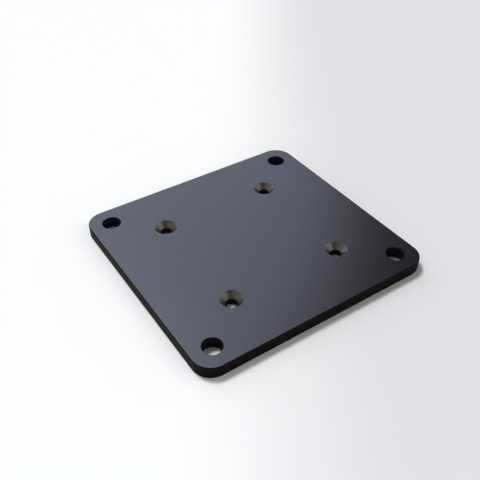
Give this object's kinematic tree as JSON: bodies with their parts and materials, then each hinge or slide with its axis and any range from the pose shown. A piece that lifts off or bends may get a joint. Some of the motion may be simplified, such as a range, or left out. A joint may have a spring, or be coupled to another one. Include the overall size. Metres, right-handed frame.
{
  "type": "base plate",
  "caption": "Flat base plate with rounded corners, a plain hole near each corner and four countersunk screw holes round its centre.",
  "frame": {"origin": "centre of the flat underside", "axes": "+X along the longer side, +Y along the shorter side, +Z out of the face that the countersinks open in"},
  "size_m": [0.12, 0.114, 0.006],
  "materials": {
    "anodised_black": "satin black anodised, machined countersinks a little browner than the face"
  },
  "bodies": {
    "root": {"base_plate": "anodised_black"}
  },
  "joints": []
}
